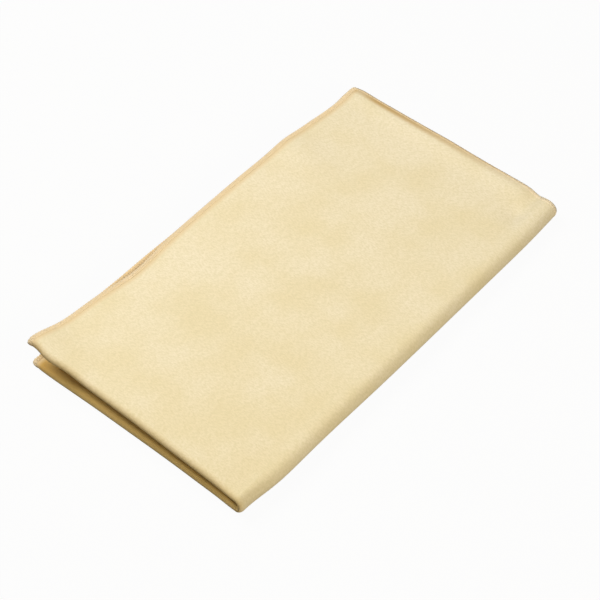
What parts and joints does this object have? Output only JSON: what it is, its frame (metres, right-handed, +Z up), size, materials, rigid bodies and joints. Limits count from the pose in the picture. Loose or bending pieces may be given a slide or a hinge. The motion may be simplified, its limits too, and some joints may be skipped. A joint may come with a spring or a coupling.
{
  "type": "microfiber cleaning cloth",
  "caption": "Pale yellow napped microfiber cleaning cloth with overlocked edges, folded in half twice into a soft flat stack that opens at its last fold.",
  "frame": {"origin": "centre of the folded cloth's footprint, on the surface it lies on", "axes": "+X along the last fold, away from the first fold; +Y from the last fold to the open long edges; +Z up, out of the surface it lies on"},
  "size_m": [0.3492, 0.1979, 0.0304],
  "materials": {
    "cloth": "short suede-like nap, matt, soft sheen at grazing angles",
    "overlock_thread": "matt spun thread, tan"
  },
  "bodies": {
    "lower_half": {"bottom_panel": "cloth", "lower_inner_panel": "cloth", "lower_first_fold": "cloth", "bottom_panel_long_serging": "overlock_thread", "lower_inner_panel_long_serging": "overlock_thread", "lower_first_fold_serging": "overlock_thread", "bottom_panel_short_serging": "overlock_thread", "lower_inner_panel_short_serging": "overlock_thread", "outer_last_fold": "cloth", "inner_last_fold": "cloth", "fold_corner": "cloth", "outer_last_fold_serging": "overlock_thread", "inner_last_fold_serging": "overlock_thread"},
    "upper_half": {"top_panel": "cloth", "upper_inner_panel": "cloth", "upper_first_fold": "cloth", "top_panel_long_serging": "overlock_thread", "upper_inner_panel_long_serging": "overlock_thread", "upper_first_fold_serging": "overlock_thread", "top_panel_short_serging": "overlock_thread", "upper_inner_panel_short_serging": "overlock_thread"}
  },
  "joints": [
    {"name": "last_fold_opening", "type": "hinge", "parent": "lower_half", "child": "upper_half", "pos_m": [0, -0.09846, 0.00911], "axis": [1, 0, -0.0064], "range_deg": [0, 177], "deforming": ["outer_last_fold", "inner_last_fold", "fold_corner", "outer_last_fold_serging", "inner_last_fold_serging"]}
  ]
}
